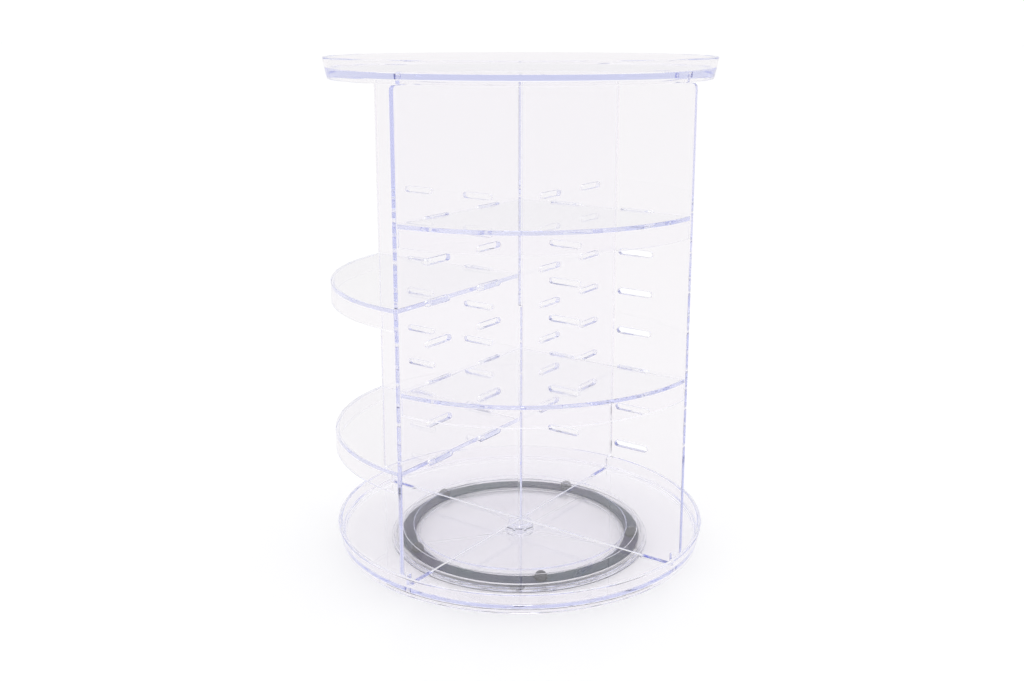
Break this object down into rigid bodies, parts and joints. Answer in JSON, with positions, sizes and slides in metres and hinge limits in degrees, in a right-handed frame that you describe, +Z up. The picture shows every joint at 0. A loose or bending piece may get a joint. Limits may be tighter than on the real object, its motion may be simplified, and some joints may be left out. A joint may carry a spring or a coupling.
{
  "type": "lazy susan turntable",
  "caption": "Clear rotating storage carousel: a ball-bearing turntable carries a round tray, two crossed slotted panels, quarter-circle shelves and a top tray.",
  "frame": {"origin": "on the turning axis, at the surface the feet stand on", "axes": "+Z up along the turning axis; the crossed panels lie along X and Y; the two bays with shelves open towards +X -Y and -X -Y"},
  "size_m": [0.236, 0.236, 0.3118],
  "materials": {
    "clear_plastic": "clear, polished, very slightly violet at the edges",
    "clear_pad": "soft translucent",
    "bearing_steel": "polished steel",
    "dark_cage": "smooth dark with a faint purple and teal sheen"
  },
  "bodies": {
    "base": {"base_plate": "clear_plastic", "foot_pad_1": "clear_pad", "foot_pad_2": "clear_pad", "foot_pad_3": "clear_pad", "foot_pad_4": "clear_pad", "foot_pad_5": "clear_pad"},
    "tower": {"base_tray": "clear_plastic", "pivot_pin": "clear_plastic", "divider_panel_side": "clear_plastic", "divider_panel_front": "clear_plastic"},
    "ball_cage": {"ball_cage": "dark_cage"},
    "bearing_ball_1": {"bearing_ball_1": "bearing_steel"},
    "bearing_ball_2": {"bearing_ball_2": "bearing_steel"},
    "bearing_ball_3": {"bearing_ball_3": "bearing_steel"},
    "bearing_ball_4": {"bearing_ball_4": "bearing_steel"},
    "bearing_ball_5": {"bearing_ball_5": "bearing_steel"},
    "shelf_front_upper": {"shelf_front_upper": "clear_plastic"},
    "shelf_front_lower": {"shelf_front_lower": "clear_plastic"},
    "shelf_left_upper": {"shelf_left_upper": "clear_plastic"},
    "shelf_left_lower": {"shelf_left_lower": "clear_plastic"},
    "top_tray": {"top_tray": "clear_plastic"}
  },
  "joints": [
    {"name": "tray_spin", "type": "hinge", "parent": "base", "child": "tower", "pos_m": [0, 0, 0], "axis": [0, 0, 1], "continuous": true},
    {"name": "cage_spin", "type": "hinge", "parent": "base", "child": "ball_cage", "pos_m": [0, 0, 0], "axis": [0, 0, 1], "continuous": true},
    {"name": "ball_1_roll", "type": "hinge", "parent": "ball_cage", "child": "bearing_ball_1", "pos_m": [0.0524, -0.0524, 0.00705], "axis": [0.7071, -0.7071, 0], "continuous": true},
    {"name": "ball_2_roll", "type": "hinge", "parent": "ball_cage", "child": "bearing_ball_2", "pos_m": [0.06602, 0.03364, 0.00705], "axis": [0.891, 0.454, 0], "continuous": true},
    {"name": "ball_3_roll", "type": "hinge", "parent": "ball_cage", "child": "bearing_ball_3", "pos_m": [-0.01159, 0.07319, 0.00705], "axis": [-0.1564, 0.9877, 0], "continuous": true},
    {"name": "ball_4_roll", "type": "hinge", "parent": "ball_cage", "child": "bearing_ball_4", "pos_m": [-0.07319, 0.01159, 0.00705], "axis": [-0.9877, 0.1564, 0], "continuous": true},
    {"name": "ball_5_roll", "type": "hinge", "parent": "ball_cage", "child": "bearing_ball_5", "pos_m": [-0.03364, -0.06602, 0.00705], "axis": [-0.454, -0.891, 0], "continuous": true},
    {"name": "shelf_front_upper_slide", "type": "slide", "parent": "tower", "child": "shelf_front_upper", "axis": [0.7071, -0.7071, 0], "range_m": [0, 0.12]},
    {"name": "shelf_front_lower_slide", "type": "slide", "parent": "tower", "child": "shelf_front_lower", "axis": [0.7071, -0.7071, 0], "range_m": [0, 0.12]},
    {"name": "shelf_left_upper_slide", "type": "slide", "parent": "tower", "child": "shelf_left_upper", "axis": [-0.7071, -0.7071, 0], "range_m": [0, 0.12]},
    {"name": "shelf_left_lower_slide", "type": "slide", "parent": "tower", "child": "shelf_left_lower", "axis": [-0.7071, -0.7071, 0], "range_m": [0, 0.12]},
    {"name": "top_tray_lift", "type": "slide", "parent": "tower", "child": "top_tray", "axis": [0, 0, 1], "range_m": [0, 0.02]}
  ],
  "couplings": [
    {"joint": "cage_spin", "follows": "tray_spin", "ratio": 0.5},
    {"joint": "ball_1_roll", "follows": "tray_spin", "ratio": -9.2625},
    {"joint": "ball_2_roll", "follows": "tray_spin", "ratio": -9.2625},
    {"joint": "ball_3_roll", "follows": "tray_spin", "ratio": -9.2625},
    {"joint": "ball_4_roll", "follows": "tray_spin", "ratio": -9.2625},
    {"joint": "ball_5_roll", "follows": "tray_spin", "ratio": -9.2625}
  ]
}
